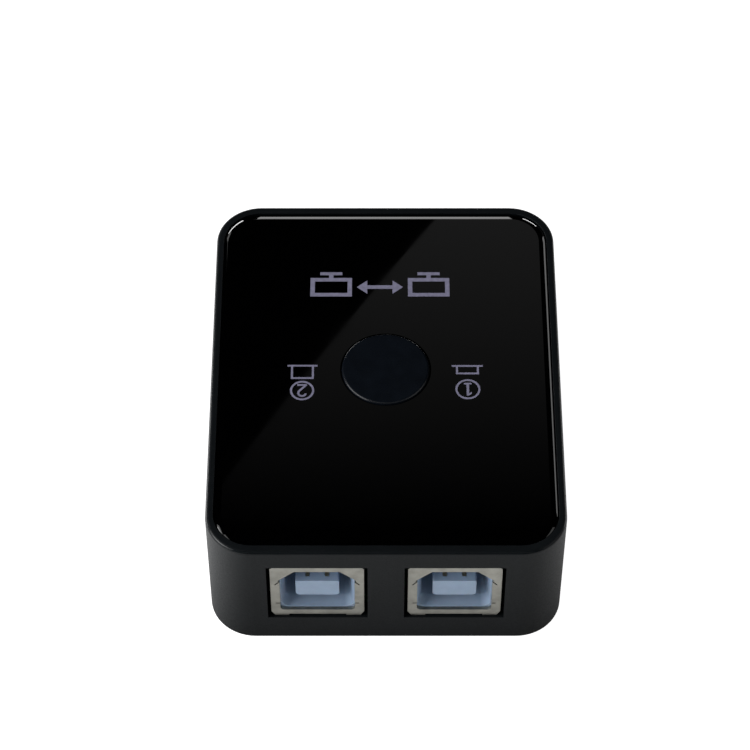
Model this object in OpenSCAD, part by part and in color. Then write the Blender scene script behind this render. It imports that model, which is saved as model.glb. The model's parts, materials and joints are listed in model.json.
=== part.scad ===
// Two-to-one push-button switch box for USB peripherals.
// Origin: centre of the footprint, on the surface under the feet. +Z is up.
// The two square sockets for the computers face -Y, the flat socket faces +Y.

/* [Case] */
// Width of the case
case_w = 46; // [42:0.5:56]
// Length of the case from the front wall to the rear wall
case_d = 57.5; // [57:0.5:66]
// Height of the case without its feet
case_h = 19.3; // [19.3:0.1:22]
// Radius of the four upright corners
corner_r = 6; // [5:0.25:6.5]
// Radius along the case's top edge
edge_r = 0.5; // [0.2:0.05:0.6]
// Thickness of the side walls
wall = 2; // [1.8:0.1:2.2]

/* [Top panel] */
// Width of the matte rim beside the panel
rim_w = 1; // [0.9:0.05:1.5]
// Width of the rim in front of the panel and behind it
rim_d = 1.25; // [0.9:0.05:1.5]
// Gap between the rim and the panel
panel_gap = 0.15; // [0.1:0.05:0.3]
// How far the panel stands above the rim
panel_proud = 0.05; // [0:0.05:0.5]
// How far the panel's edge curves down
panel_drop = 0.25; // [0.1:0.05:0.3]
// Width of the panel's curved edge
panel_run = 0.9; // [0.5:0.05:1]

/* [Button] */
// Diameter of the button cap
button_d = 11.6; // [10:0.1:12.4]
// Distance of the button behind the case's centre
button_y = 0.4; // [0:0.1:1.5]
// How far the latched button stands above the panel
button_proud = 0.25; // [0:0.05:0.5]

/* [Sockets] */
// Distance between the centres of the two square sockets
socket_pitch = 17.6; // [17.2:0.1:18]
// How far each socket's face lies behind the wall's outer face
socket_recess = 0.3; // [0.1:0.05:0.5]

/* [Feet] */
// Radius of a rubber foot
foot_r = 3.1; // [2.5:0.05:3.1]
// How far a foot stands below the case
foot_proud = 0.6; // [0.4:0.1:1]

/* [Hidden] */
$fn = 48;
slack = 0.01;
// clearance round a part that is pressed in, and round a leg in the board
fit = 0.03;
leg_slack = 0.12;

// Heights
case_bottom = foot_proud;
case_top = case_bottom + case_h;
panel_top = case_top + panel_proud;
panel_t = 1.2;
tape_t = 0.15;
deck_top = panel_top - panel_t - tape_t;
deck_t = 1.5;
deck_bottom = deck_top - deck_t;
cover_t = 1.6;
cover_top = case_bottom + cover_t;
board_t = 1.6;
board_bottom = case_bottom + 3;
board_top = board_bottom + board_t;
leg_bottom = board_bottom - 0.9;

// Plan sizes
front_y = -case_d / 2;
rear_y = case_d / 2;
recess_w = case_w - 2 * rim_w;
recess_d = case_d - 2 * rim_d;
recess_r = corner_r - rim_w;
rebate = 0.9;
cover_gap = 0.15;

// Case screws, bosses and feet
boss_x = case_w / 2 - 5.4;
boss_y = case_d / 2 - 5.6;
boss_r = 2.3;
boss_bottom = cover_top + 1.2;
pad_r = 3;
foot_recess = 0.6;
foot_recess_r = foot_r + 0.15;
case_screw_head_r = 1.95;
case_screw_head_h = 1.2;
case_screw_length = 7.5;
screw_seat = boss_bottom - 0.8;

// Board screws and posts
post_x = 16;
post_y = 6;
post_r = 2.2;
board_screw_head_r = 1.9;
board_screw_head_h = 1;
board_screw_length = 7;
pilot_depth = 8;
pilot_r = 0.9;
thread_r = 0.85;

// Square (type B) socket
b_w = 12;
b_h = 10.96;
b_len = 16.3;
b_face = 0.45;
b_sheet = 0.3;
b_front = front_y + socket_recess;
b_rear = b_front + b_len;
b_base = board_top;
b_foot = 0.3;
b_open_bottom = b_base + 1.3;
b_open_h = 8.75;
b_open_w = 9.6;
b_open_top_w = 5.86;
b_open_chamfer_h = 2.1;
b_open_ear = 0.3;
b_mouth_w = 9.3;
b_mouth_h = 8.45;
b_mouth_lead = 1.6;
b_cavity_w = 8.45;
b_cavity_h = 7.78;
b_cavity_top_w = 5.5;
b_cavity_chamfer_h = 1.55;
b_cavity_bottom = b_open_bottom + 0.45;
b_tongue_w = 5.6;
b_tongue_h = 3.18;
b_tongue_bottom = b_base + 3.7;
b_tongue_front = b_front + 0.75;
b_block_front = b_rear - 3.2;
b_block_rear = b_rear - 0.95;
b_contact_w = 0.5;
b_contact_setback = 0.75;
b_leg_w = 0.6;
b_corner_w = 0.5;
b_corner_h = 0.95;
b_contact_t = 0.25;
b_contact_x = 1.25;
b_leg_y = b_rear - 0.85;
b_inner_leg_y = b_rear - 2.6;
b_window_w = 12.9;
b_window_bottom = b_base - 0.1;
b_window_top = b_base + b_h + 0.42;

// Flat (type A) socket
a_w = 13.1;
a_h = 5.72;
a_len = 14;
a_sheet = 0.3;
a_base = board_top + 0.7;
a_front = rear_y - socket_recess;
a_rear = a_front - a_len;
a_lip = 0.6;
a_tongue_w = 11.1;
a_tongue_h = 1.84;
a_tongue_bottom = a_base + 2.9;
a_block_front = a_rear + 4.7;
a_contact_x = [-3.5, -1, 1, 3.5];
a_contact_w = 1;
a_leg_y = a_rear + 1.2;
a_window_w = 15;
a_window_top = a_base + a_h + a_lip + 0.3;
a_tab_top = a_base - a_lip - 0.2;

// Latching push switch
switch_w = 7;
switch_base_t = 0.8;
switch_base_top = board_top + switch_base_t;
switch_top = board_top + 7.8;
switch_wall = 0.7;
switch_lid_t = 0.8;
stem_w = 3;
stem_top = panel_top - 1.55;
block_w = 3.8;
block_d = 4.4;
block_bottom = switch_base_top + 0.9;
block_top = switch_top - switch_lid_t - 1.85;
pocket_r = 1.5;
pocket_top = switch_base_top + 3.4;
pin_r = 0.2;
pin_y = button_y + block_d / 2 + 0.3;
pin_pivot_z = switch_base_top + 0.75;
pin_arm = 2.45;
pin_stub_z = pin_pivot_z + pin_arm;
track_w = 2 * pin_r + 0.24;
track_depth = 0.6;
spring_r = 1.15;
spring_wire_r = 0.15;
spring_coils = 6;
terminal_x = 2.55;
terminal_t = 0.3;
terminal_w = 0.7;
terminal_pitch = 2;

// Button cap
cap_top = panel_top + button_proud;
cap_wall = 1.2;
cap_bottom = deck_bottom - 2.7;
cap_flange_r = button_d / 2 + 0.95;
cap_flange_t = 0.8;
cap_edge_r = 0.35;
hole_clear = 0.2;

// Board outline
board_w = case_w - 2 * wall - 1;
board_front = front_y + wall + 1.3;
board_d = rear_y - wall - 0.3 - board_front;
notch_x = boss_x - boss_r - 0.35;
notch_y = boss_y - boss_r - 0.4;

// Small parts on the board
diode_x = 12.5;
diode_y = 15.2;
diode_size = [2.6, 4.3, 2.1];
diode_lead = [1.5, 0.7, 1.1];
capacitor_places = [[-8.6, 9], [8.6, 9], [0, 8.2]];
capacitor_size = [1.24, 2, 0.85];

// ---------------------------------------------------------------- helpers

// Puts its child at a height
module at_z(z) {
  translate([0, 0, z]) children();
}

// Box that runs between two corners
module span_box(low, high) {
  translate(low) cube(high - low);
}

// Plate with four round upright corners, centred in plan, standing on z = 0
module round_plate(w, d, h, r) {
  translate([-w / 2 + r, -d / 2, 0]) cube([w - 2 * r, d, h]);
  translate([-w / 2, -d / 2 + r, 0]) cube([w, d - 2 * r, h]);
  at_corners(w / 2 - r, d / 2 - r) cylinder(h = h, r = r);
}

// Repeats its child at four mirrored places
module at_corners(x, y) {
  for (sx = [-1, 1], sy = [-1, 1]) translate([sx * x, sy * y, 0]) children();
}

// Half of a wall's section: a rectangle with one round upper outer corner
module eased_section(w, h, e) {
  square([w - e, h]);
  square([w, h - e]);
  translate([w - e, h - e]) circle(r = e);
}

// Section across a whole plate, with both upper corners eased
module eased_span(w, h, e) {
  translate([-w / 2, 0]) square([w, h - e]);
  translate([-w / 2 + e, 0]) square([w - 2 * e, h]);
  for (s = [-1, 1]) translate([s * (w / 2 - e), h - e]) circle(r = e);
}

// Plate with round upright corners and a round top edge
module eased_plate(w, d, h, r, e) {
  rotate([90, 0, 0]) linear_extrude(height = d - 2 * r, center = true) eased_span(w, h, e);
  rotate([90, 0, 90]) linear_extrude(height = w - 2 * r, center = true) eased_span(d, h, e);
  at_corners(w / 2 - r, d / 2 - r) rotate_extrude() eased_section(r, h, e);
}

// Corner of a section that curves down by drop over the width run, from its flat top at (0, 0)
module curved_corner(run, drop) {
  r = (run * run + drop * drop) / (2 * drop);
  intersection() {
    translate([0, -r]) circle(r = r);
    translate([0, -drop]) square([run, drop]);
  }
}

// Half of a plate's section with a curved upper corner
module curved_section(w, h, run, drop) {
  square([w, h - drop]);
  square([w - run, h]);
  translate([w - run, h]) curved_corner(run, drop);
}

// Section across a whole plate whose top curves down at both edges
module curved_span(w, h, run, drop) {
  curved_section(w / 2, h, run, drop);
  mirror([1, 0]) curved_section(w / 2, h, run, drop);
}

// Plate with round upright corners and a top that curves down all round
module curved_plate(w, d, h, r, run, drop) {
  rotate([90, 0, 0]) linear_extrude(height = d - 2 * r, center = true) curved_span(w, h, run, drop);
  rotate([90, 0, 90]) linear_extrude(height = w - 2 * r, center = true) curved_span(d, h, run, drop);
  at_corners(w / 2 - r, d / 2 - r) rotate_extrude() curved_section(r, h, run, drop);
}

// Slot with round ends between two points in the XZ plane, running along Y
module round_slot(a, b, w, y0, y1) {
  run = b - a;
  length = norm(run);
  turn = atan2(run[1], run[0]);
  for (p = [a, b]) {
    translate([p[0], y1, p[1]]) rotate([90, 0, 0]) cylinder(h = y1 - y0, r = w / 2);
  }
  translate([a[0], y0, a[1]]) rotate([0, -turn, 0]) translate([0, 0, -w / 2]) cube([length, y1 - y0, w]);
}

// Cross-recessed pan-head screw; the head's underside is at z = 0 and the head points down
module pan_screw(head_r, head_h, shank_r, length) {
  difference() {
    union() {
      translate([0, 0, -head_h + 0.3]) cylinder(h = head_h - 0.3, r = head_r);
      translate([0, 0, -head_h]) cylinder(h = 0.3, r1 = head_r - 0.3, r2 = head_r);
      cylinder(h = length - 0.6, r = shank_r);
      translate([0, 0, length - 0.6]) cylinder(h = 0.6, r1 = shank_r, r2 = shank_r / 3);
    }
    for (turn = [0, 90]) {
      rotate([0, 0, turn]) translate([-head_r * 0.6, -0.2, -head_h - slack])
        cube([head_r * 1.2, 0.4, 0.6]);
    }
  }
}

// ---------------------------------------------------------------- case

// Screw boss that hangs from the deck at each corner
module corner_bosses() {
  at_corners(boss_x, boss_y) at_z(boss_bottom) {
    cylinder(h = deck_bottom - boss_bottom + 0.2, r = boss_r);
  }
}

// Two posts that the board is screwed to
module board_posts() {
  for (s = [-1, 1]) translate([s * post_x, post_y, board_top + 0.02]) {
    cylinder(h = deck_bottom - board_top + 0.2, r = post_r);
  }
}

// Blind holes for the case screws and the board screws
module pilot_holes() {
  at_corners(boss_x, boss_y) at_z(boss_bottom - slack) {
    cylinder(h = pilot_depth, r = pilot_r);
  }
  for (s = [-1, 1]) translate([s * post_x, post_y, board_top]) {
    cylinder(h = pilot_depth - 1, r = pilot_r);
  }
}

// Collar under the deck that guides the button's flange
module button_collar() {
  translate([0, button_y, deck_bottom - 1.2]) difference() {
    cylinder(h = 1.4, r = cap_flange_r + 1.2);
    at_z(-slack) cylinder(h = 2, r = cap_flange_r + 0.3);
  }
}

module housing() {
  color([0.16, 0.16, 0.16]) difference() {
    union() {
      difference() {
        at_z(case_bottom) eased_plate(case_w, case_d, case_h, corner_r, edge_r);
        at_z(case_bottom - slack) {
          round_plate(case_w - 2 * wall, case_d - 2 * wall, deck_bottom - case_bottom + slack,
                      corner_r - wall);
        }
      }
      corner_bosses();
      board_posts();
      button_collar();
    }
    // recess for the panel, and the button's hole
    at_z(deck_top) round_plate(recess_w, recess_d, 3, recess_r);
    translate([0, button_y, deck_bottom - 1]) cylinder(h = 5, r = button_d / 2 + hole_clear + 0.1);
    // rebate that the bottom cover drops into
    at_z(case_bottom - slack) {
      round_plate(case_w - 2 * (wall - rebate), case_d - 2 * (wall - rebate), cover_t + slack,
                  corner_r - wall + rebate);
    }
    // windows for the two square sockets
    for (s = [-1, 1]) {
      span_box([s * socket_pitch / 2 - b_window_w / 2, front_y - 1, b_window_bottom],
               [s * socket_pitch / 2 + b_window_w / 2, front_y + wall + 1, b_window_top]);
    }
    // window for the flat socket, open towards the bottom cover
    span_box([-a_window_w / 2, rear_y - wall - 1, case_bottom - 1],
             [a_window_w / 2, rear_y + 1, a_window_top]);
    pilot_holes();
  }
}

module top_panel() {
  color([0.02, 0.02, 0.02]) difference() {
    at_z(deck_top + tape_t) {
      curved_plate(recess_w - 2 * panel_gap, recess_d - 2 * panel_gap, panel_t,
                   recess_r - panel_gap, panel_run, panel_drop);
    }
    translate([0, button_y, deck_top]) cylinder(h = 5, r = button_d / 2 + hole_clear);
  }
}

module panel_tape() {
  color([0.25, 0.25, 0.26]) difference() {
    at_z(deck_top) round_plate(recess_w - 2, recess_d - 2, tape_t, recess_r - 1);
    translate([0, button_y, deck_top - 1]) cylinder(h = 3, r = button_d / 2 + 1.2);
  }
}

module bottom_cover() {
  inset = wall - rebate + cover_gap;
  color([0.13, 0.13, 0.13]) difference() {
    union() {
      at_z(case_bottom) {
        round_plate(case_w - 2 * inset, case_d - 2 * inset, cover_t, corner_r - inset);
      }
      at_corners(boss_x, boss_y) at_z(cover_top - 0.2) {
        cylinder(h = boss_bottom - cover_top + 0.2, r = pad_r);
      }
      // tab that closes the rear window under the flat socket
      span_box([-a_window_w / 2 + cover_gap, rear_y - wall + 0.1, case_bottom],
               [a_window_w / 2 - cover_gap, rear_y, a_tab_top]);
    }
    at_corners(boss_x, boss_y) {
      at_z(case_bottom - slack) cylinder(h = foot_recess + slack, r = foot_recess_r);
      at_z(case_bottom) cylinder(h = screw_seat - case_bottom, r = case_screw_head_r + 0.2);
      at_z(case_bottom) cylinder(h = 5, r = pilot_r + 0.25);
    }
  }
}

module rubber_foot(sx, sy) {
  translate([sx * boss_x, sy * boss_y, 0]) color([0.1, 0.1, 0.1]) rotate_extrude() {
    polygon([[0, 0], [foot_r - 0.3, 0], [foot_r, 0.3], [foot_r, case_bottom + foot_recess],
             [0, case_bottom + foot_recess]]);
  }
}

module rubber_foot_front_left() { rubber_foot(-1, -1); }
module rubber_foot_front_right() { rubber_foot(1, -1); }
module rubber_foot_rear_left() { rubber_foot(-1, 1); }
module rubber_foot_rear_right() { rubber_foot(1, 1); }

module case_screws() {
  color([0.6, 0.6, 0.62]) at_corners(boss_x, boss_y) at_z(screw_seat) {
    pan_screw(case_screw_head_r, case_screw_head_h, thread_r, case_screw_length);
  }
}

// ---------------------------------------------------------------- board

module board_screws() {
  color([0.6, 0.6, 0.62]) for (s = [-1, 1]) translate([s * post_x, post_y, board_bottom]) {
    pan_screw(board_screw_head_r, board_screw_head_h, thread_r, board_screw_length);
  }
}

// Holes for the legs of the sockets and of the switch
module board_holes() {
  for (s = [-1, 1]) translate([s * socket_pitch / 2, 0, 0]) {
    b_contact_legs(leg_slack);
    b_shell_legs(leg_slack);
  }
  a_contact_legs(leg_slack);
  a_shell_legs(leg_slack);
  terminal_legs(leg_slack);
  for (s = [-1, 1]) translate([s * post_x, post_y, 0]) cylinder(h = 20, r = pilot_r + 0.25);
}

module circuit_board() {
  color([0.07, 0.3, 0.16]) difference() {
    translate([-board_w / 2, board_front, board_bottom]) cube([board_w, board_d, board_t]);
    at_corners(notch_x + 10, notch_y + 10) translate([-10, -10, 0]) cube([20, 20, 20]);
    board_holes();
  }
}

module power_diodes() {
  color([0.12, 0.12, 0.13]) for (s = [-1, 1]) translate([s * diode_x, diode_y, board_top]) {
    translate([-diode_size[0] / 2, -diode_size[1] / 2, 0.1]) cube(diode_size);
    // the two ends of its leads, folded against the body
    for (t = [-1, 1]) translate([-diode_lead[0] / 2, t * 2.3 - diode_lead[1] / 2, 0]) cube(diode_lead);
  }
}

module ceramic_capacitors() {
  color([0.62, 0.5, 0.36]) for (p = capacitor_places) {
    translate([p[0] - capacitor_size[0] / 2, p[1] - capacitor_size[1] / 2, board_top]) cube(capacitor_size);
  }
}

// ---------------------------------------------------------------- square sockets

// Outline of the square socket's mouth: a box with two cut upper corners, standing on y = 0.
// ear is how far each cut runs out past the side below it.
module mouth(w, h, top_w, chamfer_h, r, ear = 0) {
  side = w / 2;
  shoulder = h - chamfer_h;
  polygon([[-side, r], [-side, shoulder - ear / 2], [-side - ear, shoulder], [-top_w / 2, h],
           [top_w / 2, h], [side + ear, shoulder], [side, shoulder - ear / 2], [side, r]]);
  translate([-side + r, 0]) square([w - 2 * r, r + 0.5]);
  for (s = [-1, 1]) translate([s * (side - r), r]) circle(r = r);
}

// Extrudes its 2D child, drawn in XZ, from y0 to y1
module run_back(y0, y1) {
  translate([0, y1, 0]) rotate([90, 0, 0]) linear_extrude(height = y1 - y0) children();
}

// Two legs that ground the shell in the board
module b_shell_legs(extra) {
  for (s = [-1, 1]) {
    x = s * (b_w / 2 - b_sheet / 2);
    span_box([x - b_sheet / 2 - extra, b_rear - 5.4 - extra, leg_bottom],
             [x + b_sheet / 2 + extra, b_rear - 3.2 + extra, b_base + 1]);
  }
}

// Four legs of the contacts
module b_contact_legs(extra) {
  for (s = [-1, 1], y = [b_leg_y, b_inner_leg_y]) {
    span_box([s * b_contact_x - b_leg_w / 2 - extra, y - 0.2 - extra, leg_bottom],
             [s * b_contact_x + b_leg_w / 2 + extra, y + 0.2 + extra, b_base + 1]);
  }
}

module b_shell() {
  difference() {
    run_back(b_front, b_rear) {
      polygon([[-b_w / 2, b_base + b_corner_h], [-b_w / 2 + b_corner_w, b_base],
               [b_w / 2 - b_corner_w, b_base], [b_w / 2, b_base + b_corner_h],
               [b_w / 2, b_base + b_h - 0.3],
               [b_w / 2 - 0.3, b_base + b_h], [-b_w / 2 + 0.3, b_base + b_h],
               [-b_w / 2, b_base + b_h - 0.3]]);
    }
    // inside of the sheet metal
    span_box([-b_w / 2 + b_sheet, b_front + b_face, b_base + b_sheet],
             [b_w / 2 - b_sheet, b_rear - b_sheet, b_base + b_h - b_sheet]);
    // open underneath behind the front flap, and open low at the back
    span_box([-b_w / 2 + b_sheet, b_front + 3, b_base - 1],
             [b_w / 2 - b_sheet, b_rear + 1, b_base + b_sheet + slack]);
    span_box([-b_w / 2 + b_sheet, b_rear - 1, b_base - 1],
             [b_w / 2 - b_sheet, b_rear + 1, b_base + 4]);
    // mouth
    run_back(b_front - 1, b_front + b_face + 0.5) translate([0, b_open_bottom]) {
      mouth(b_open_w, b_open_h, b_open_top_w, b_open_chamfer_h, 0.5, b_open_ear);
    }
    // lifted middle of the front flap
    span_box([-3.7, b_front - 1, b_base - 1], [3.7, b_front + 4, b_base + b_foot]);
    // seams where the folded flaps of the front meet
    for (s = [-1, 1]) {
      span_box([s * 4.95 - 0.4, b_front - 1, b_base + 2.75],
               [s * 4.95 + 0.4, b_front + b_face + slack, b_base + 2.92]);
      translate([s * 4.75, b_front - 1, b_base + 7.85]) rotate([0, s * 50, 0]) {
        translate([s > 0 ? 0 : -1.05, 0, -0.09]) cube([1.05, 1 + b_face + slack, 0.18]);
      }
    }
  }
  difference() {
    b_shell_legs(0);
    at_z(b_base + 0.6) translate([-20, -40, 0]) cube([40, 40, 10]);
  }
}

module b_contacts(extra) {
  for (s = [-1, 1]) {
    x0 = s * b_contact_x - b_contact_w / 2 - extra;
    x1 = s * b_contact_x + b_contact_w / 2 + extra;
    upper = b_tongue_bottom + b_tongue_h;
    lower = b_tongue_bottom;
    // upper strip, and its leg behind the block
    span_box([x0, b_tongue_front + b_contact_setback - extra, upper - b_contact_t + 0.05 - extra],
             [x1, b_leg_y + 0.2 + extra, upper + 0.05 + extra]);
    span_box([s * b_contact_x - b_leg_w / 2 - extra, b_leg_y - 0.2 - extra, leg_bottom],
             [s * b_contact_x + b_leg_w / 2 + extra, b_leg_y + 0.2 + extra, upper]);
    // lower strip, and its leg through the block
    span_box([x0, b_tongue_front + b_contact_setback - extra, lower - 0.05 - extra],
             [x1, b_inner_leg_y + 0.2 + extra, lower + b_contact_t - 0.05 + extra]);
    span_box([s * b_contact_x - b_leg_w / 2 - extra, b_inner_leg_y - 0.2 - extra, leg_bottom],
             [s * b_contact_x + b_leg_w / 2 + extra, b_inner_leg_y + 0.2 + extra, lower + 0.1]);
  }
}

module b_insulator() {
  inner_w = b_w - 2 * (b_sheet + fit);
  lining_front = b_front + b_face + fit;
  difference() {
    union() {
      difference() {
        span_box([-inner_w / 2, lining_front, b_base + b_sheet + fit],
                 [inner_w / 2, b_block_rear, b_base + b_h - b_sheet - fit]);
        run_back(lining_front - 1, b_block_front) translate([0, b_cavity_bottom]) {
          mouth(b_cavity_w, b_cavity_h, b_cavity_top_w, b_cavity_chamfer_h, 0.9);
        }
        // the mouth narrows to the cavity
        hull() {
          run_back(lining_front - slack, lining_front) translate([0, b_open_bottom + 0.12]) {
            mouth(b_mouth_w, b_mouth_h, b_open_top_w, b_open_chamfer_h, 1.2);
          }
          run_back(lining_front + b_mouth_lead, lining_front + b_mouth_lead + slack) {
            translate([0, b_cavity_bottom]) {
              mouth(b_cavity_w, b_cavity_h, b_cavity_top_w, b_cavity_chamfer_h, 0.9);
            }
          }
        }
      }
      // tongue, with eased edges
      run_back(b_tongue_front, b_block_front + 0.5) translate([0, b_tongue_bottom]) {
        polygon([[-b_tongue_w / 2, 0.35], [-b_tongue_w / 2 + 0.35, 0], [b_tongue_w / 2 - 0.35, 0],
                 [b_tongue_w / 2, 0.35], [b_tongue_w / 2, b_tongue_h - 0.15],
                 [b_tongue_w / 2 - 0.15, b_tongue_h], [-b_tongue_w / 2 + 0.15, b_tongue_h],
                 [-b_tongue_w / 2, b_tongue_h - 0.15]]);
      }
    }
    b_contacts(fit);
    // room for the shell's folded lower flap and its legs
    span_box([-b_w, b_front + 2.9, b_base - 1], [b_w, b_rear, b_base + 0.02]);
  }
}

module at_socket(side) {
  translate([side * socket_pitch / 2, 0, 0]) children();
}

module usb_b_shell_left() { color([0.6, 0.59, 0.56]) at_socket(-1) b_shell(); }
module usb_b_shell_right() { color([0.6, 0.59, 0.56]) at_socket(1) b_shell(); }
module usb_b_insulator_left() { color([0.5, 0.56, 0.64]) at_socket(-1) b_insulator(); }
module usb_b_insulator_right() { color([0.5, 0.56, 0.64]) at_socket(1) b_insulator(); }
module usb_b_contacts_left() { color([0.75, 0.65, 0.4]) at_socket(-1) b_contacts(0); }
module usb_b_contacts_right() { color([0.75, 0.65, 0.4]) at_socket(1) b_contacts(0); }

// ---------------------------------------------------------------- flat socket

module a_shell_legs(extra) {
  for (s = [-1, 1], y = [a_rear + 2, a_rear + 8]) {
    x = s * (a_w / 2 - a_sheet / 2);
    span_box([x - a_sheet / 2 - extra, y - extra, leg_bottom],
             [x + a_sheet / 2 + extra, y + 1.6 + extra, a_base + 0.5]);
  }
}

module a_contact_legs(extra) {
  for (x = a_contact_x) {
    span_box([x - 0.3 - extra, a_leg_y - 0.15 - extra, leg_bottom],
             [x + 0.3 + extra, a_leg_y + 0.15 + extra, board_top + 1]);
  }
}

module usb_a_shell() {
  color([0.6, 0.59, 0.56]) difference() {
    union() {
      span_box([-a_w / 2, a_rear, a_base], [a_w / 2, a_front, a_base + a_h]);
      // lips around the mouth
      span_box([-a_w / 2 - a_lip, a_front - a_sheet, a_base + 0.6],
               [a_w / 2 + a_lip, a_front, a_base + a_h - 0.6]);
      span_box([-a_w / 2 + 0.9, a_front - a_sheet, a_base - a_lip],
               [a_w / 2 - 0.9, a_front, a_base + a_h + a_lip]);
      a_shell_legs(0);
    }
    span_box([-a_w / 2 + a_sheet, a_rear + a_sheet, a_base + a_sheet],
             [a_w / 2 - a_sheet, a_front + 1, a_base + a_h - a_sheet]);
    // open underneath for the contact legs
    span_box([-a_w / 2 + a_sheet, a_rear - 1, a_base - 1],
             [a_w / 2 - a_sheet, a_rear + 4, a_base + a_sheet + slack]);
    // spring fingers that grip the plug, cut out of the top and the bottom
    for (s = [-1, 1], z = [a_base, a_base + a_h - a_sheet]) {
      translate([s * 2.9, a_front - 6, z]) difference() {
        translate([-1.2, 0, -slack]) cube([2.4, 4.4, a_sheet + 2 * slack]);
        translate([-0.8, 0.5, -1]) cube([1.6, 4, 3]);
      }
    }
  }
}

module usb_a_contacts_at(extra) {
  for (x = a_contact_x) {
    span_box([x - a_contact_w / 2 - extra, a_leg_y - 0.15 - extra, a_tongue_bottom - 0.05 - extra],
             [x + a_contact_w / 2 + extra, a_front - 1.6 + extra, a_tongue_bottom + 0.2 + extra]);
    span_box([x - 0.3 - extra, a_leg_y - 0.15 - extra, leg_bottom],
             [x + 0.3 + extra, a_leg_y + 0.15 + extra, a_tongue_bottom + 0.1]);
  }
}

module usb_a_contacts() {
  color([0.75, 0.65, 0.4]) usb_a_contacts_at(0);
}

module usb_a_insulator() {
  inner_w = a_w - 2 * (a_sheet + fit);
  color([0.85, 0.85, 0.83]) difference() {
    union() {
      span_box([-inner_w / 2, a_rear + a_sheet + fit, a_base + a_sheet + fit],
               [inner_w / 2, a_block_front, a_base + a_h - a_sheet - fit]);
      // foot that carries the block on the board
      span_box([-inner_w / 2, a_rear + a_sheet + fit, board_top],
               [inner_w / 2, a_rear + 3.9, a_base + 1]);
      span_box([-a_tongue_w / 2, a_block_front - 0.5, a_tongue_bottom],
               [a_tongue_w / 2, a_front - 0.9, a_tongue_bottom + a_tongue_h]);
    }
    usb_a_contacts_at(fit);
    a_shell_legs(0.05);
  }
}

// ---------------------------------------------------------------- push switch

module button_cap() {
  r = button_d / 2;
  color([0.05, 0.06, 0.08]) translate([0, button_y, 0]) {
    difference() {
      rotate_extrude() {
        // top, skirt and retaining flange
        translate([0, cap_top - cap_wall]) {
          square([r - cap_edge_r, cap_wall]);
          square([r, cap_wall - cap_edge_r]);
          translate([r - cap_edge_r, cap_wall - cap_edge_r]) circle(r = cap_edge_r);
        }
        translate([r - cap_wall, cap_bottom]) square([cap_wall, cap_top - cap_bottom - 1]);
        translate([r - cap_wall, cap_bottom]) square([cap_flange_r - r + cap_wall, cap_flange_t]);
        // socket for the stem
        translate([0, cap_bottom + 0.4]) square([2.9, cap_top - cap_bottom - 1]);
      }
      translate([-stem_w / 2 - 0.04, -stem_w / 2 - 0.04, cap_bottom - 1]) {
        cube([stem_w + 0.08, stem_w + 0.08, stem_top + 0.05 - cap_bottom + 1]);
      }
    }
  }
}

// Track for the latch pin, on the face of the plunger that looks towards +Y.
// The right branch is the way out; the left one is the way back in.
module cam_track() {
  y1 = button_y + block_d / 2 + 0.1;
  y0 = y1 - 0.1 - track_depth;
  latched = [-0.2, pin_stub_z + 0.6];
  released = [0.6, pin_stub_z - 1.87];
  detour = [-0.8, pin_stub_z - 0.5];
  round_slot(released, latched, track_w, y0, y1);
  round_slot(released, detour, track_w, y0, y1);
  round_slot(detour, latched, track_w, y0, y1);
}

module switch_plunger() {
  color([0.9, 0.9, 0.88]) difference() {
    union() {
      translate([-block_w / 2, button_y - block_d / 2, block_bottom]) {
        cube([block_w, block_d, block_top - block_bottom]);
      }
      translate([-stem_w / 2, button_y - stem_w / 2, block_top - 0.2]) {
        cube([stem_w, stem_w, stem_top - block_top + 0.2]);
      }
    }
    translate([0, button_y, block_bottom - 1]) cylinder(h = pocket_top - block_bottom + 1, r = pocket_r);
    cam_track();
  }
}

// A springy strip on each side of the plunger, with one bump for each row of terminals
module switch_contact_clips() {
  color([0.75, 0.6, 0.3]) for (s = [-1, 1]) {
    x_inner = block_w / 2 + 0.01;
    mirror([s < 0 ? 1 : 0, 0, 0]) {
      span_box([x_inner, button_y - 2.1, block_top - 1.3], [x_inner + 0.15, button_y + 2.1, block_top - 0.5]);
      for (y = [-1, 1]) translate([x_inner + 0.1, button_y + y, block_top - 0.9]) {
        rotate([0, 90, 0]) cylinder(h = 0.3, r = 0.3);
      }
    }
  }
}

// Coil spring as one swept tube
function coil_frame(t) = let (
  a = 360 * spring_coils * t,
  h = switch_base_top + spring_wire_r + 0.02
      + t * (pocket_top - switch_base_top - 2 * spring_wire_r - 0.04)
) [spring_r * cos(a), spring_r * sin(a), h, a];

module switch_spring() {
  rings = 16 * spring_coils;
  sides = 8;
  points = [
    for (i = [0:rings]) let (f = coil_frame(i / rings)) for (k = [0:sides - 1])
      let (b = 360 * k / sides, out = spring_wire_r * cos(b))
        [f[0] + out * cos(f[3]), f[1] + out * sin(f[3]), f[2] + spring_wire_r * sin(b)]
  ];
  walls = [
    for (i = [0:rings - 1], k = [0:sides - 1]) let (j = (k + 1) % sides, a = i * sides)
      [a + k, a + j, a + sides + j, a + sides + k]
  ];
  first = [for (k = [sides - 1:-1:0]) k];
  last = [for (k = [0:sides - 1]) rings * sides + k];
  color([0.7, 0.7, 0.72]) translate([0, button_y, 0]) {
    polyhedron(points = points, faces = concat(walls, [first, last]), convexity = 10);
  }
}

module switch_latch_pin() {
  color([0.75, 0.75, 0.78]) {
    translate([0, pin_y, pin_pivot_z]) cylinder(h = pin_arm, r = pin_r);
    for (z = [pin_pivot_z, pin_stub_z]) translate([0, pin_y, z]) sphere(r = pin_r);
    translate([0, pin_y, pin_pivot_z]) rotate([-90, 0, 0]) cylinder(h = 0.75, r = pin_r);
    translate([0, pin_y, pin_stub_z]) rotate([90, 0, 0]) cylinder(h = 0.75, r = pin_r);
  }
}

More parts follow.
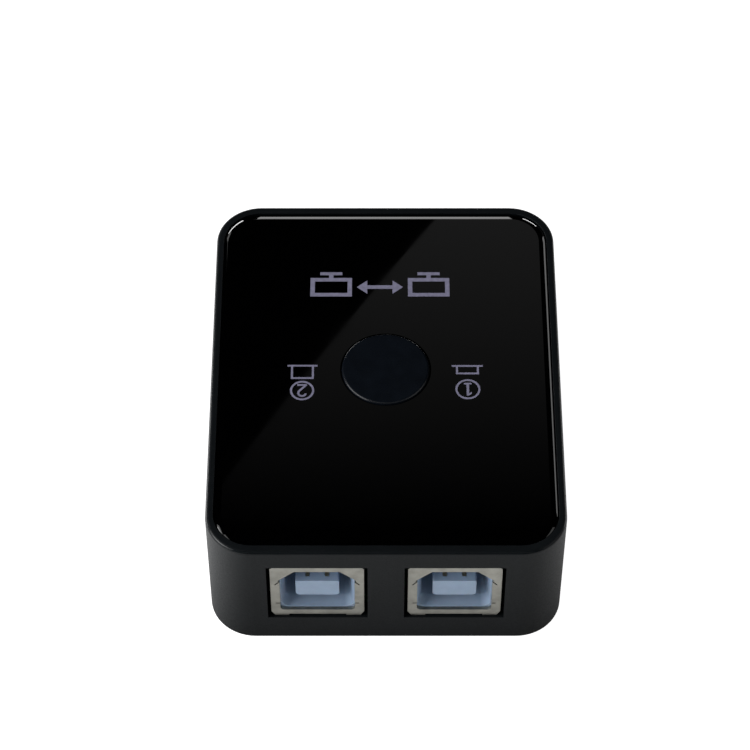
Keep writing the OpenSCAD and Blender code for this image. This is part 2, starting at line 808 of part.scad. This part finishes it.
module switch_case() {
  half = switch_w / 2;
  color([0.2, 0.2, 0.21]) translate([0, button_y, 0]) difference() {
    span_box([-half, -half, switch_base_top], [half, half, switch_top]);
    span_box([-half + switch_wall, -half + switch_wall, switch_base_top - 1],
             [half - switch_wall, half - switch_wall, switch_top - switch_lid_t]);
    span_box([-stem_w / 2 - 0.1, -stem_w / 2 - 0.1, switch_top - 2],
             [stem_w / 2 + 0.1, stem_w / 2 + 0.1, switch_top + 1]);
    // hole that the latch pin's lower end turns in
    translate([0, half + 1, pin_pivot_z]) rotate([90, 0, 0]) cylinder(h = 2, r = pin_r + 0.05);
  }
}

module switch_base() {
  half = switch_w / 2;
  color([0.85, 0.83, 0.76]) difference() {
    translate([0, button_y, 0]) span_box([-half, -half, board_top], [half, half, switch_base_top]);
    terminal_legs(0.02);
  }
}

// The six legs, where they pass through the base and the board
module terminal_legs(extra) {
  for (s = [-1, 1], row = [-1, 0, 1]) {
    x = s * terminal_x;
    y = button_y + row * terminal_pitch;
    span_box([x - terminal_t / 2 - extra, y - terminal_w / 2 - extra, leg_bottom],
             [x + terminal_t / 2 + extra, y + terminal_w / 2 + extra, switch_base_top + 0.1]);
  }
}

module switch_terminals() {
  color([0.75, 0.65, 0.4]) {
    terminal_legs(0);
    for (s = [-1, 1], row = [-1, 0, 1]) {
      x = s * terminal_x;
      y = button_y + row * terminal_pitch;
      span_box([x - terminal_t / 2, y - 0.7, switch_base_top + 0.02],
               [x + terminal_t / 2, y + 0.7, switch_top - switch_lid_t - 1.4 + row * 0.9]);
    }
  }
}

housing();
top_panel();
panel_tape();
bottom_cover();
rubber_foot_front_left();
rubber_foot_front_right();
rubber_foot_rear_left();
rubber_foot_rear_right();
case_screws();
circuit_board();
board_screws();
usb_b_shell_left();
usb_b_insulator_left();
usb_b_contacts_left();
usb_b_shell_right();
usb_b_insulator_right();
usb_b_contacts_right();
usb_a_shell();
usb_a_insulator();
usb_a_contacts();
button_cap();
switch_plunger();
switch_contact_clips();
switch_spring();
switch_latch_pin();
switch_case();
switch_base();
switch_terminals();
power_diodes();
ceramic_capacitors();
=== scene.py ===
"""Push-button switch box: materials, printed legends, floor, light and camera. Lengths are in metres."""
import json
import math

import bmesh
import bpy
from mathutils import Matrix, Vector


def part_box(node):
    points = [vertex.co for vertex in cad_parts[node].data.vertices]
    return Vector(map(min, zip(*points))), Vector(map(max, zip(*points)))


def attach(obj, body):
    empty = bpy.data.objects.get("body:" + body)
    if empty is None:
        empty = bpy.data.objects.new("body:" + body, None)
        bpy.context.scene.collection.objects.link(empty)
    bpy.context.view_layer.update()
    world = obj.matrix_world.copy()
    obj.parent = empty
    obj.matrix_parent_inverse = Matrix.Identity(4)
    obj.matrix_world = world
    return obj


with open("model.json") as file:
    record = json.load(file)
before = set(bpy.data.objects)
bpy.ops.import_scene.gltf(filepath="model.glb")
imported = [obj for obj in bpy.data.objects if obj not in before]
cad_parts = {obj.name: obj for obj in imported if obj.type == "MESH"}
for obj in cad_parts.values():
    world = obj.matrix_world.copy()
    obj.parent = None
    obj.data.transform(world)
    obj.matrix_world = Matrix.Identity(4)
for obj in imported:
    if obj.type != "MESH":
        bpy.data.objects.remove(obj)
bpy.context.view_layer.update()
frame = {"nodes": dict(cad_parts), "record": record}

MM = 0.001
ROOT = "case"
NODES = frame["nodes"]


# ---------------------------------------------------------------- places taken from the frame

PANEL_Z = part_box("top_panel")[1].z
RIM_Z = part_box("housing")[1].z


# ---------------------------------------------------------------- camera

CAMERA_ELEVATION = math.radians(52.545)
CAMERA_DISTANCE = 0.3845
CAMERA_TARGET = Vector((-0.001405, 0.006667, 0.01054))
CAMERA_LENS = 135.96
SENSOR_WIDTH = 36


def make_camera():
    """Looks down at the square sockets' side. Colours are shown as they are, so the floor stays white."""
    back = Vector((0, -math.cos(CAMERA_ELEVATION), math.sin(CAMERA_ELEVATION)))
    data = bpy.data.cameras.new("camera")
    data.lens = CAMERA_LENS
    data.sensor_width = SENSOR_WIDTH
    data.clip_start = 0.01
    camera = bpy.data.objects.new("camera", data)
    camera.location = CAMERA_TARGET + back * CAMERA_DISTANCE
    camera.rotation_mode = "QUATERNION"
    camera.rotation_quaternion = (-back).to_track_quat("-Z", "Y")
    bpy.context.scene.collection.objects.link(camera)
    bpy.context.scene.camera = camera
    bpy.context.scene.view_settings.view_transform = "Standard"
    return camera


# ---------------------------------------------------------------- surfaces


class Surface:
    """A material's node tree, with the object's own coordinates as the place of every pattern."""

    def __init__(self, name, colour, roughness, metallic=0.0, specular=0.5, ior=1.5):
        self.slot = name
        self.material = bpy.data.materials.new(name)
        self.material.use_nodes = True
        self.tree = self.material.node_tree
        self.shader = self.tree.nodes["Principled BSDF"]
        self.colour, self.roughness = colour, roughness
        self.set("Base Color", (*colour, 1))
        self.set("Roughness", roughness)
        self.set("Metallic", metallic)
        self.set("Specular IOR Level", specular)
        self.set("IOR", ior)
        self.place = self.add("ShaderNodeTexCoord").outputs["Object"]

    def set(self, socket, value):
        self.shader.inputs[socket].default_value = value

    def add(self, kind, **values):
        node = self.tree.nodes.new(kind)
        for key, value in values.items():
            setattr(node, key, value)
        return node

    def link(self, a, b):
        self.tree.links.new(a, b)

    def along(self, axis):
        """The place along the object's own X, Y or Z."""
        node = self.add("ShaderNodeSeparateXYZ")
        self.link(self.place, node.inputs["Vector"])
        return node.outputs[axis]

    def combine(self, operation, a, b):
        node = self.add("ShaderNodeMath", operation=operation)
        self.link(a, node.inputs[0])
        self.link(b, node.inputs[1])
        return node.outputs["Value"]

    def noise(self, size, detail=2.0, stretch=(1, 1, 1)):
        """Noise from 0 to 1, with blobs of about this size; stretch makes them longer along an axis."""
        mapping = self.add("ShaderNodeMapping")
        mapping.inputs["Scale"].default_value = [1 / (size * s) for s in stretch]
        self.link(self.place, mapping.inputs["Vector"])
        node = self.add("ShaderNodeTexNoise")
        node.inputs["Scale"].default_value = 1
        node.inputs["Detail"].default_value = detail
        self.link(mapping.outputs["Vector"], node.inputs["Vector"])
        return node.outputs["Fac"]

    def spread(self, value, low, high, start=0.3, end=0.7):
        """Maps a value between start and end to the range low to high."""
        node = self.add("ShaderNodeMapRange")
        node.inputs["From Min"].default_value = start
        node.inputs["From Max"].default_value = end
        node.inputs["To Min"].default_value = low
        node.inputs["To Max"].default_value = high
        self.link(value, node.inputs["Value"])
        return node.outputs["Result"]

    def vary_colour(self, value, amount):
        """Lightens and darkens the base colour by this share."""
        node = self.add("ShaderNodeMix", data_type="RGBA")
        node.inputs["A"].default_value = (*[c * (1 - amount) for c in self.colour], 1)
        node.inputs["B"].default_value = (*[c * (1 + amount) for c in self.colour], 1)
        self.link(self.spread(value, 0, 1), node.inputs["Factor"])
        self.link(node.outputs["Result"], self.shader.inputs["Base Color"])

    def vary_roughness(self, value, amount):
        self.link(self.spread(value, self.roughness - amount, self.roughness + amount),
                  self.shader.inputs["Roughness"])

    def bump(self, height, depth, edge=0.0):
        """Raises the surface by up to depth metres; edge rounds its sharp edges by that radius."""
        node = self.add("ShaderNodeBump")
        node.inputs["Strength"].default_value = 1
        node.inputs["Distance"].default_value = depth
        self.link(height, node.inputs["Height"])
        if edge:
            bevel = self.add("ShaderNodeBevel", samples=4)
            bevel.inputs["Radius"].default_value = edge
            self.link(bevel.outputs["Normal"], node.inputs["Normal"])
        self.link(node.outputs["Normal"], self.shader.inputs["Normal"])


# ---------------------------------------------------------------- materials

RUBBED_ROUGHNESS = 0.2
LACQUER_GREEN = (0.006, 0.07, 0.025)
TRACK_GREEN = (0.012, 0.13, 0.04)


def moulded_plastic(name, colour, roughness, specular):
    """Fine spark-eroded mould texture with faint cloudiness."""
    s = Surface(name, colour, roughness, specular=specular)
    fine = s.noise(0.22 * MM, detail=3)
    s.vary_colour(s.noise(7 * MM, detail=3), 0.12)
    s.vary_roughness(fine, 0.06)
    s.bump(fine, 0.006 * MM, edge=0.12 * MM)
    return s


def case_plastic():
    """Moulded plastic whose round top edge is rubbed smooth."""
    s = moulded_plastic("matte_black_case", (0.0026, 0.0036, 0.0044), 0.5, 0.13)
    rough = s.shader.inputs["Roughness"].links[0].from_socket
    height = s.along("Z")
    above = s.spread(height, 0, 1, RIM_Z - 0.45 * MM, RIM_Z - 0.3 * MM)
    below = s.spread(height, 1, 0, RIM_Z - 0.06 * MM, RIM_Z - 0.02 * MM)
    mix = s.add("ShaderNodeMix", data_type="FLOAT")
    s.link(s.combine("MULTIPLY", above, below), mix.inputs["Factor"])
    s.link(rough, mix.inputs["A"])
    mix.inputs["B"].default_value = RUBBED_ROUGHNESS
    s.link(mix.outputs["Result"], s.shader.inputs["Roughness"])
    return s


def gloss_panel():
    """Polished black acrylic: a clean mirror with very faint wiping marks."""
    s = Surface("gloss_black_panel", (0.0002, 0.0002, 0.00025), 0.022, specular=0.5, ior=1.49)
    wipe = s.noise(9 * MM, detail=4, stretch=(2.2, 0.8, 1))
    s.vary_colour(s.noise(0.6 * MM), 0.3)
    s.vary_roughness(wipe, 0.012)
    s.bump(s.noise(14 * MM, detail=1), 0.0004 * MM)
    return s


def satin_button():
    """Finely textured plastic that takes a soft highlight."""
    s = Surface("satin_black_button", (0.004, 0.0058, 0.0092), 0.3, specular=0.3)
    fine = s.noise(0.12 * MM, detail=2)
    s.vary_colour(s.noise(2.5 * MM, detail=3), 0.2)
    s.vary_roughness(fine, 0.05)
    s.bump(fine, 0.0015 * MM)
    return s


def nickel_plate():
    """Stamped and dull nickel-plated sheet with faint rolling marks and stains."""
    s = Surface("socket_shell", (0.33, 0.325, 0.292), 0.42, metallic=1.0)
    rolled = s.noise(0.09 * MM, detail=3, stretch=(9, 1, 1))
    s.vary_colour(s.noise(1.6 * MM, detail=5), 0.16)
    s.vary_roughness(s.noise(0.9 * MM, detail=4), 0.09)
    s.bump(rolled, 0.0012 * MM, edge=0.07 * MM)
    return s


def insulator(name, colour):
    """Slightly translucent moulded plastic."""
    s = Surface(name, colour, 0.42, specular=0.4)
    s.set("Subsurface Weight", 0.12)
    s.set("Subsurface Scale", 0.0006)
    s.vary_colour(s.noise(1.8 * MM, detail=4), 0.06)
    s.vary_roughness(s.noise(0.3 * MM), 0.06)
    s.bump(s.noise(0.25 * MM, detail=3), 0.0015 * MM, edge=0.1 * MM)
    return s


def metal(name, colour, roughness):
    """Drawn or stamped metal with fine lines along its height."""
    s = Surface(name, colour, roughness, metallic=1.0)
    s.vary_colour(s.noise(0.8 * MM, detail=3), 0.1)
    s.vary_roughness(s.noise(0.4 * MM, detail=3), 0.06)
    s.bump(s.noise(0.15 * MM, detail=2, stretch=(1, 1, 6)), 0.001 * MM, edge=0.03 * MM)
    return s


def rubber():
    """Dull rubber with a slightly pitted skin."""
    s = Surface("foot_rubber", (0.012, 0.012, 0.012), 0.85, specular=0.25)
    fine = s.noise(0.12 * MM, detail=4)
    s.vary_colour(s.noise(1.5 * MM, detail=3), 0.3)
    s.vary_roughness(fine, 0.05)
    s.bump(fine, 0.01 * MM, edge=0.08 * MM)
    return s


def solder_mask():
    """Green lacquer over copper tracks: the tracks stand a little proud and show lighter."""
    s = Surface("board_laminate", LACQUER_GREEN, 0.3, specular=0.5)
    cells = s.add("ShaderNodeTexVoronoi", distance="CHEBYCHEV", feature="F2")
    cells.inputs["Scale"].default_value = 1 / (3.2 * MM)
    s.link(s.place, cells.inputs["Vector"])
    tracks = s.spread(cells.outputs["Distance"], 0, 1, start=0.52, end=0.56)
    mix = s.add("ShaderNodeMix", data_type="RGBA")
    mix.inputs["A"].default_value = (*LACQUER_GREEN, 1)
    mix.inputs["B"].default_value = (*TRACK_GREEN, 1)
    s.link(tracks, mix.inputs["Factor"])
    s.link(mix.outputs["Result"], s.shader.inputs["Base Color"])
    s.vary_roughness(s.noise(0.8 * MM, detail=3), 0.06)
    s.bump(tracks, 0.02 * MM)
    return s


def ink():
    """Screen-printed ink with uneven cover and a fine mesh grain."""
    s = Surface("legend_ink", (0.265, 0.258, 0.37), 0.55, specular=0.3)
    grain = s.noise(0.07 * MM, detail=2)
    s.vary_colour(s.noise(0.5 * MM, detail=4), 0.16)
    s.vary_roughness(grain, 0.08)
    s.bump(grain, 0.003 * MM)
    return s


def dull(name, colour, roughness, amount=0.12):
    """Plain plastic, tape or ceramic, mottled by this share."""
    s = Surface(name, colour, roughness, specular=0.35)
    grain = s.noise(0.3 * MM, detail=3)
    s.vary_colour(s.noise(1.2 * MM, detail=4), amount)
    s.vary_roughness(grain, 0.06)
    s.bump(grain, 0.004 * MM, edge=0.05 * MM)
    return s


def make_materials():
    """One material for each slot that the record names."""
    made = [
        case_plastic(),
        moulded_plastic("matte_black_cover", (0.0026, 0.0034, 0.0042), 0.56, 0.14),
        gloss_panel(),
        satin_button(),
        nickel_plate(),
        insulator("blue_grey_insulator", (0.262, 0.344, 0.462)),
        insulator("white_insulator", (0.62, 0.62, 0.6)),
        metal("contact_metal", (0.42, 0.35, 0.23), 0.34),
        metal("spring_steel", (0.55, 0.55, 0.56), 0.28),
        metal("screw_steel", (0.5, 0.5, 0.52), 0.35),
        rubber(),
        solder_mask(),
        ink(),
        dull("adhesive_tape", (0.04, 0.04, 0.042), 0.8),
        dull("switch_white_plastic", (0.7, 0.69, 0.65), 0.4, amount=0.04),
        dull("switch_black_plastic", (0.02, 0.02, 0.021), 0.45),
        dull("switch_cream_plastic", (0.55, 0.5, 0.36), 0.5, amount=0.06),
        dull("diode_epoxy", (0.012, 0.012, 0.013), 0.6),
        dull("capacitor_ceramic", (0.33, 0.21, 0.1), 0.45),
    ]
    return {s.slot: s.material for s in made}


def finish_cad_nodes(materials):
    """Gives each CAD node the material that its slot in the record names."""
    for part in frame["record"]["subparts"]:
        node = NODES[part["node"]]
        for slot in node.material_slots:
            slot.material = materials[part["material_slot"]]


# ---------------------------------------------------------------- printed legends

# how far the ink stands proud of the panel and reaches into it, and how much each stroke adds
INK_T = 0.02 * MM
INK_SINK = 0.004 * MM
INK_STEP = 0.0012 * MM

# widths of the lines, in millimetres
THIN = 0.27
BOLD = 0.6


class Print:
    """Ink on the panel. Points are (across, up) in millimetres, for a reader at the far side, facing -Y."""

    def __init__(self, name, x, y):
        self.name, self.x, self.y = name, x, y
        self.mesh = bmesh.new()
        self.strokes = 0

    def shape(self, points):
        """A closed outline, raised into a thin solid. Each stroke is a hair thicker than the last."""
        top_z = PANEL_Z + INK_T + self.strokes * INK_STEP
        self.strokes += 1
        level = [[self.mesh.verts.new(((self.x - u) * MM, (self.y - v) * MM, z)) for u, v in points]
                 for z in (PANEL_Z - INK_SINK, top_z)]
        self.mesh.faces.new(level[0])
        self.mesh.faces.new(level[1])
        for i in range(len(points)):
            j = (i + 1) % len(points)
            self.mesh.faces.new([level[0][i], level[0][j], level[1][j], level[1][i]])

    def box(self, u0, v0, u1, v1):
        self.shape([(u0, v0), (u1, v0), (u1, v1), (u0, v1)])

    def band(self, points, width, closed=False):
        """A stroke of even width with mitred corners: one outline, or a ring of steps if it is closed."""
        points = [Vector(p) for p in points]
        count = len(points)
        sides = ([], [])
        for i, p in enumerate(points):
            ways = []
            if closed or i > 0:
                ways.append((p - points[i - 1]).normalized())
            if closed or i < count - 1:
                ways.append((points[(i + 1) % count] - p).normalized())
            normals = [Vector((-w.y, w.x)) for w in ways]
            mitre = sum(normals, Vector((0, 0))).normalized()
            reach = width / 2 / mitre.dot(normals[0])
            sides[0].append(p + mitre * reach)
            sides[1].append(p - mitre * reach)
        if closed:
            for i in range(count):
                self.wedge(sides, i, (i + 1) % count)
            self.strokes += 1
        else:
            self.shape([*sides[0], *reversed(sides[1])])

    def wedge(self, sides, i, j):
        """One step of a closed band: its top, its bottom and the walls along its two sides."""
        corners = (sides[0][i], sides[0][j], sides[1][j], sides[1][i])
        top_z = PANEL_Z + INK_T + self.strokes * INK_STEP
        low, high = ([self.mesh.verts.new(((self.x - u) * MM, (self.y - v) * MM, z)) for u, v in corners]
                     for z in (PANEL_Z - INK_SINK, top_z))
        self.mesh.faces.new(low)
        self.mesh.faces.new(high)
        for k in (0, 2):
            self.mesh.faces.new([low[k], low[k + 1], high[k + 1], high[k]])

    def finish(self, material):
        bmesh.ops.remove_doubles(self.mesh, verts=self.mesh.verts, dist=0.0002 * MM)
        bmesh.ops.recalc_face_normals(self.mesh, faces=self.mesh.faces)
        data = bpy.data.meshes.new(self.name)
        self.mesh.to_mesh(data)
        self.mesh.free()
        data.materials.append(material)
        piece = bpy.data.objects.new(self.name, data)
        bpy.context.scene.collection.objects.link(piece)
        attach(piece, ROOT)


def arc(centre, radius, start, end, steps):
    """Points along an arc, with its angles in degrees."""
    turns = [math.radians(start + (end - start) * i / steps) for i in range(steps + 1)]
    return [(centre[0] + radius * math.cos(t), centre[1] + radius * math.sin(t)) for t in turns]


def one():
    """Outline of the digit 1 around its middle, 2.1 high, with a foot."""
    return [(-0.5, -1.05), (0.5, -1.05), (0.5, -0.8), (0.17, -0.8), (0.17, 1.05), (-0.12, 1.05),
            (-0.5, 0.72), (-0.5, 0.45), (-0.17, 0.66), (-0.17, -0.8), (-0.5, -0.8)]


def two(p):
    """Draws the digit 2, 2.1 high: a bowl that runs into a slanted stroke, and a foot."""
    bowl = arc((0, 0.4), 0.5, 170, -35, 18)
    p.band([*bowl, (-0.4, -0.77)], 0.28)
    p.box(-0.64, -1.05, 0.64, -0.77)


def port_mark(name, x, y, ring, drop, line, box, box_h, digit):
    """A port number in a ring, and below it a button standing on a line.

    The ring has this radius, the line lies this far below its centre, and the box is the button's outline.
    """
    p = Print(name, x, y)
    p.band(arc((0, 0), ring, 0, 360, 72)[:-1], THIN, closed=True)
    if digit == 2:
        two(p)
    else:
        p.shape(one())
    p.box(-line / 2, -drop - THIN / 2, line / 2, -drop + THIN / 2)
    top = -drop + box_h
    base = -drop + THIN / 2
    p.band([(-box / 2, base), (-box / 2, top), (box / 2, top), (box / 2, base)], THIN)
    return p


def screen(p, u):
    """Draws a computer screen on its stand, centred across at u."""
    outer_top, half_w, height, stem, base_half_w, base_h = 2.12, 2.5, 2.6, 0.5, 1.5, 0.5
    top = outer_top - BOLD / 2
    bottom = top - height
    corners = [(u - half_w, top), (u + half_w, top), (u + half_w, bottom), (u - half_w, bottom)]
    p.band(corners, BOLD, closed=True)
    foot = bottom - BOLD / 2 - stem
    p.box(u - BOLD / 2, foot, u + BOLD / 2, foot + stem)
    p.box(u - base_half_w, foot - base_h, u + base_half_w, foot)


def changeover_mark(name, x, y):
    """Two screens with a two-headed arrow between them: one device, two computers."""
    p = Print(name, x, y)
    screen_u, tip, root, head, middle = 6.57, 3.1, 1.7, 1.15, 0.5
    for side in (-1, 1):
        screen(p, side * screen_u)
        p.shape([(side * tip, middle), (side * root, middle + head), (side * root, middle - head)])
    p.box(-root, middle - BOLD / 2, root, middle + BOLD / 2)
    return p


def make_legends(material):
    """The marks beside the button, which draw it raised for port 2 and pressed for 1, and the one above."""
    marks = [
        port_mark("legend_port_2", -10.96, -3.11,
                  ring=1.45, drop=4.1, line=3.95, box=2.75, box_h=2.05, digit=2),
        port_mark("legend_port_1", 10.77, -2.9,
                  ring=1.5, drop=3.85, line=4.1, box=2.75, box_h=1.24, digit=1),
        changeover_mark("legend_changeover", -0.74, 14.87),
    ]
    for mark in marks:
        mark.finish(material)


# ---------------------------------------------------------------- studio

# how far the floor reaches from the middle, in metres
FLOOR_REACH = 3

# the floor's glow at the object's foot, and what it grows to in front and at the sides
FOOT_GLOW = 0.05
FRONT_GLOW = 0.86
LEFT_GLOW = 2
RIGHT_GLOW = 1

# how far from the middle it starts to grow, and over what length
FRONT_START = 29 * MM
SIDE_START = 18 * MM
GLOW_RUN = 27 * MM


def stage_object(name, mesh, material):
    data = bpy.data.meshes.new(name)
    mesh.to_mesh(data)
    mesh.free()
    data.materials.append(material)
    item = bpy.data.objects.new(name, data)
    bpy.context.scene.collection.objects.link(item)
    return item


def make_floor():
    """Pale floor, white to the camera. To the object it glows, more so away from its front and sides."""
    mesh = bmesh.new()
    bmesh.ops.create_grid(mesh, x_segments=8, y_segments=8, size=FLOOR_REACH)
    s = Surface("pale_floor", (0.6, 0.6, 0.6), 0.75, specular=0.1)
    s.vary_colour(s.noise(0.08, detail=3), 0.006)
    s.set("Emission Color", (1, 1, 1, 1))
    across = s.along("X")
    front = s.spread(s.along("Y"), FOOT_GLOW, FRONT_GLOW, -FRONT_START, -FRONT_START - GLOW_RUN)
    left = s.spread(across, 0, LEFT_GLOW, -SIDE_START, -SIDE_START - GLOW_RUN)
    right = s.spread(across, 0, RIGHT_GLOW, SIDE_START, SIDE_START + GLOW_RUN)
    glow = s.combine("MAXIMUM", front, s.combine("MAXIMUM", left, right))
    seen = s.add("ShaderNodeLightPath").outputs["Is Camera Ray"]
    s.link(s.combine("MAXIMUM", seen, glow), s.shader.inputs["Emission Strength"])
    stage_object("floor", mesh, s.material)


def softbox(name, azimuth, elevation, distance, size, radiance, lit=()):
    """An even light. Azimuth runs from +Y towards +X, in degrees; size is width and height, in metres.

    When lit names any CAD nodes, the light falls on those alone.
    """
    turn, rise = math.radians(azimuth), math.radians(elevation)
    way = Vector((math.sin(turn) * math.cos(rise), math.cos(turn) * math.cos(rise), math.sin(rise)))
    data = bpy.data.lights.new(name, "AREA")
    data.shape = "RECTANGLE"
    data.size, data.size_y = size
    data.energy = radiance * math.pi * size[0] * size[1]
    light = bpy.data.objects.new(name, data)
    light.location = way * distance
    light.rotation_mode = "QUATERNION"
    light.rotation_quaternion = (-way).to_track_quat("-Z", "Y")
    light.visible_camera = False
    if lit:
        group = bpy.data.collections.new(name + "_lit")
        for node in lit:
            group.objects.link(NODES[node])
        light.light_linking.receiver_collection = group
    bpy.context.scene.collection.objects.link(light)


CARD_HEIGHT = 0.9
CARD_GLOW = 0.215

# the card's curved edge as the panel shows it, in millimetres: its far end, its control point, its near end
CARD_EDGE = [Vector((7.4, 27.2)), Vector((-7.0, 6.4)), Vector((-21.2, -18.5))]
CARD_EDGE_STEPS = 16

# the rest of the card's outline, beyond the panel's corners
CARD_REST = [Vector((-24, -29)), Vector((30, -29)), Vector((30, 34)), Vector((12, 34))]

# where the reflection is full and where it has faded to nothing, along the panel's Y in millimetres
FADE_FAR = 27
FADE_NEAR = -25


def mirrored(camera, x, y):
    """Where the camera's ray meets the card's level, by way of a mirror at the panel's point (x, y)."""
    point = Vector((x, y, PANEL_Z))
    ray = point - camera.location
    ray.z = -ray.z
    return point + ray * ((CARD_HEIGHT - PANEL_Z) / ray.z)


def card_glow(near, far):
    """A light surface that fades along Y, from its full glow at far to nothing at near."""
    material = bpy.data.materials.new("card_glow")
    material.use_nodes = True
    tree = material.node_tree
    tree.nodes.clear()
    place = tree.nodes.new("ShaderNodeNewGeometry")
    split = tree.nodes.new("ShaderNodeSeparateXYZ")
    fade = tree.nodes.new("ShaderNodeMapRange")
    shader = tree.nodes.new("ShaderNodeEmission")
    out = tree.nodes.new("ShaderNodeOutputMaterial")
    fade.inputs["From Min"].default_value = near
    fade.inputs["From Max"].default_value = far
    fade.inputs["To Min"].default_value = 0
    fade.inputs["To Max"].default_value = CARD_GLOW
    shader.inputs["Color"].default_value = (1, 1, 1, 1)
    tree.links.new(place.outputs["Position"], split.inputs["Vector"])
    tree.links.new(split.outputs["Y"], fade.inputs["Value"])
    tree.links.new(fade.outputs["Result"], shader.inputs["Strength"])
    tree.links.new(shader.outputs["Emission"], out.inputs["Surface"])
    return material


def make_card(camera):
    """A dim card high behind the box. The panel mirrors it, and shows its curved edge lying across."""
    far, middle, near = CARD_EDGE
    edge = []
    for i in range(CARD_EDGE_STEPS + 1):
        t = i / CARD_EDGE_STEPS
        edge.append(far * (1 - t) ** 2 + middle * 2 * t * (1 - t) + near * t ** 2)
    mesh = bmesh.new()
    mesh.faces.new([mesh.verts.new(mirrored(camera, p.x * MM, p.y * MM)) for p in [*edge, *CARD_REST]])
    bmesh.ops.triangulate(mesh, faces=mesh.faces[:])
    glow = card_glow(mirrored(camera, 0, FADE_NEAR * MM).y, mirrored(camera, 0, FADE_FAR * MM).y)
    card = stage_object("card", mesh, glow)
    card.visible_camera = False


def make_world():
    """Dark to reflections and light, pale where the camera looks past the floor."""
    world = bpy.data.worlds.new("studio")
    world.use_nodes = True
    tree = world.node_tree
    background = tree.nodes["Background"]
    path = tree.nodes.new("ShaderNodeLightPath")
    mix = tree.nodes.new("ShaderNodeMix")
    mix.data_type = "RGBA"
    mix.inputs["A"].default_value = (0.0, 0.0, 0.0, 1)
    mix.inputs["B"].default_value = (0.9, 0.9, 0.9, 1)
    tree.links.new(path.outputs["Is Camera Ray"], mix.inputs["Factor"])
    tree.links.new(mix.outputs["Result"], background.inputs["Color"])
    bpy.context.scene.world = world


def make_studio(camera):
    """Large soft lights for the whole object, then some that only the walls or only the panel take."""
    make_floor()
    make_world()
    make_card(camera)
    softbox("left_key", -106, 31, 1.35, (1.3, 0.85), 5.8)
    softbox("right_fill", 105, 32, 1.35, (1.2, 1.0), 0.9)
    softbox("front_fill", 180, 46, 1.4, (1.2, 0.6), 0.6)
    walls = ["housing", "bottom_cover"]
    softbox("left_edge", -64, 9, 1.3, (0.5, 0.4), 12, walls)
    softbox("right_edge", 64, 9, 1.3, (0.5, 0.4), 6, walls)
    softbox("glint", -106, 27, 1.1, (0.5, 0.6), 8, walls)
    panel = ["top_panel"]
    softbox("back_left", -24, 16, 1.1, (0.34, 0.2), 14, panel)
    softbox("back_left_tail", -33, 30, 1.1, (0.2, 0.2), 1.6, panel)
    softbox("back_middle", 0, 32, 1.1, (0.165, 0.38), 4.2, panel)
    softbox("back_right", 18, 14, 1.1, (0.22, 0.14), 13, panel)
    softbox("side_right", 46, 26, 1.1, (0.34, 0.26), 2.3, panel)
    softbox("near_left", -80, 45, 1.1, (0.38, 0.15), 2.4, panel)
    softbox("near_left_tail", -104, 53, 1.1, (0.35, 0.1), 1.8, panel)


# ---------------------------------------------------------------- build

camera = make_camera()
materials = make_materials()
finish_cad_nodes(materials)
make_legends(materials["legend_ink"])
make_studio(camera)
